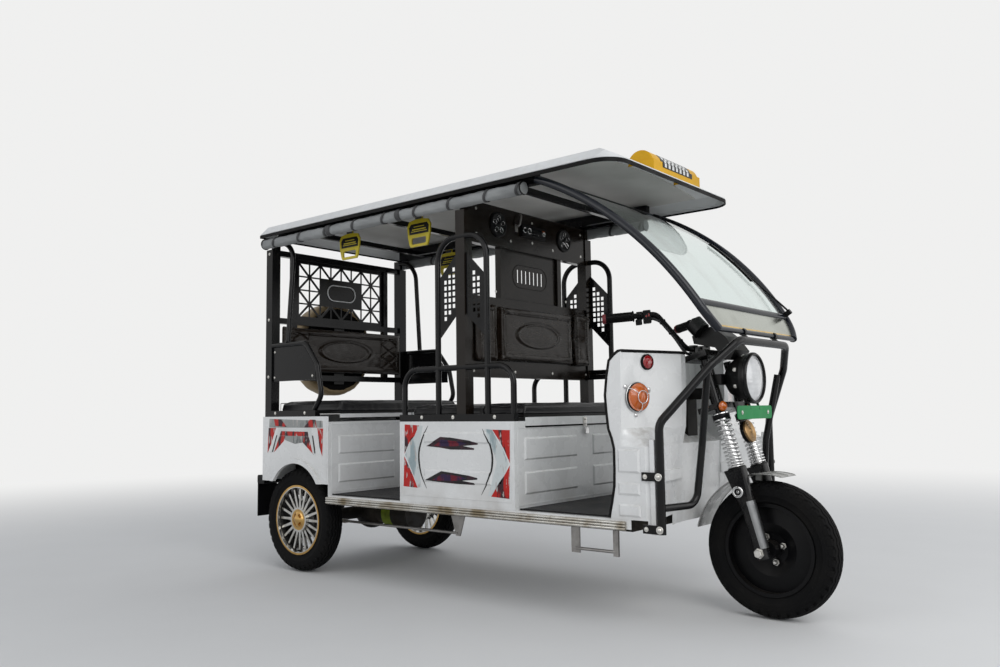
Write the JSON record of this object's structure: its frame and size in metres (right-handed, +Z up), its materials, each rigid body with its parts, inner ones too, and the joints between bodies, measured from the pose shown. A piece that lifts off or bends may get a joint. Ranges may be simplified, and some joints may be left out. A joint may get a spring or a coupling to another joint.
{
  "type": "battery auto rickshaw",
  "caption": "Open-sided three-wheeled battery auto rickshaw with a driver's seat, facing passenger benches, hard roof, raked fork steering and a tubular front guard.",
  "frame": {"origin": "on the ground, midway along the overall length and on the middle plane", "axes": "+X forward, +Y to the left, +Z up"},
  "size_m": [2.844, 1.018, 1.7979],
  "materials": {
    "amber_plastic": "gloss",
    "back_leather": "gloss",
    "battery_case": "matte",
    "black_paint": "gloss",
    "black_plastic": "satin",
    "bright_steel": "brushed",
    "chrome_parts": "polished",
    "curtain_fabric": "matte",
    "fork_black": "gloss",
    "lamp_glass": "clear",
    "lid_black": "satin",
    "liner_fabric": "matte",
    "mat_rubber": "matte",
    "mirror_panel": "polished",
    "motor_green": "gloss",
    "red_plastic": "gloss",
    "rim_steel": "satin",
    "screen_glass": "clear",
    "seat_leather": "gloss",
    "sign_plastic": "gloss",
    "silver_paint": "satin",
    "spring_steel": "matte",
    "trim_rubber": "satin",
    "tyre_rubber": "matte",
    "white_paint": "gloss",
    "white_plastic": "gloss",
    "yellow_plastic": "gloss"
  },
  "bodies": {
    "root": {"battery_pack": "battery_case", "brake_linkage": "spring_steel", "chassis_frame": "black_paint", "curtain_rolls": "curtain_fabric", "drive_motor": "motor_green", "floor_deck": "white_paint", "floor_mats": "mat_rubber", "front_guard": "black_paint", "front_panel": "white_paint", "grab_handles": "yellow_plastic", "leaf_springs": "spring_steel", "middle_side_panels": "white_paint", "partition_backrests": "back_leather", "partition_frame": "black_paint", "radio_speakers": "black_plastic", "rear_armrests": "black_paint", "rear_axle": "spring_steel", "rear_backrest": "back_leather", "rear_bumper": "black_plastic", "rear_frame": "black_paint", "rear_side_panels": "white_paint", "rear_tail_panel": "white_paint", "roof_bead": "trim_rubber", "roof_frame": "black_paint", "roof_headliner": "liner_fabric", "roof_shell": "white_plastic", "roof_sign": "sign_plastic", "seat_box_walls": "white_paint", "side_lamps": "amber_plastic", "side_rails": "black_paint", "sill_trims": "bright_steel", "spare_wheel": "tyre_rubber", "tail_lamps": "red_plastic", "windscreen_chin": "mirror_panel", "windscreen_frame": "chrome_parts", "windscreen_glass": "screen_glass", "wiper": "black_plastic"},
    "driver_seat": {"driver_lid": "lid_black", "driver_cushion": "seat_leather"},
    "bench_seat": {"bench_lid": "lid_black", "bench_cushion": "seat_leather"},
    "rear_seat": {"rear_lid": "lid_black", "rear_cushion": "seat_leather"},
    "steering": {"fork": "fork_black", "fork_springs": "chrome_parts", "handlebar": "chrome_parts", "headlamp": "black_plastic", "headlamp_lens": "lamp_glass", "front_mudguard": "silver_paint", "horn": "black_plastic"},
    "front_wheel": {"front_tyre": "tyre_rubber", "front_rim": "rim_steel"},
    "rear_wheel_right": {"rear_tyre_right": "tyre_rubber", "rear_rim_right": "chrome_parts"},
    "rear_wheel_left": {"rear_tyre_left": "tyre_rubber", "rear_rim_left": "chrome_parts"}
  },
  "joints": [
    {"name": "steering_turn", "type": "hinge", "parent": "root", "child": "steering", "pos_m": [0.96278, 0, 0.82], "axis": [-0.2756, 0, 0.9613], "range_deg": [-35, 35]},
    {"name": "front_wheel_spin", "type": "hinge", "parent": "steering", "child": "front_wheel", "pos_m": [1.172, 0, 0.25], "axis": [0, 1, 0], "continuous": true},
    {"name": "rear_right_wheel_spin", "type": "hinge", "parent": "root", "child": "rear_wheel_right", "pos_m": [-1.052, -0.42, 0.25], "axis": [0, 1, 0], "continuous": true},
    {"name": "rear_left_wheel_spin", "type": "hinge", "parent": "root", "child": "rear_wheel_left", "pos_m": [-1.052, 0.42, 0.25], "axis": [0, 1, 0], "continuous": true},
    {"name": "driver_seat_lift", "type": "hinge", "parent": "root", "child": "driver_seat", "pos_m": [0.097, 0, 0.757], "axis": [0, -1, 0], "range_deg": [0, 55]},
    {"name": "bench_seat_lift", "type": "hinge", "parent": "root", "child": "bench_seat", "pos_m": [0.019, 0, 0.757], "axis": [0, 1, 0], "range_deg": [0, 55]},
    {"name": "rear_seat_lift", "type": "hinge", "parent": "root", "child": "rear_seat", "pos_m": [-1.27, 0, 0.78], "axis": [0, -1, 0], "range_deg": [0, 50]}
  ]
}
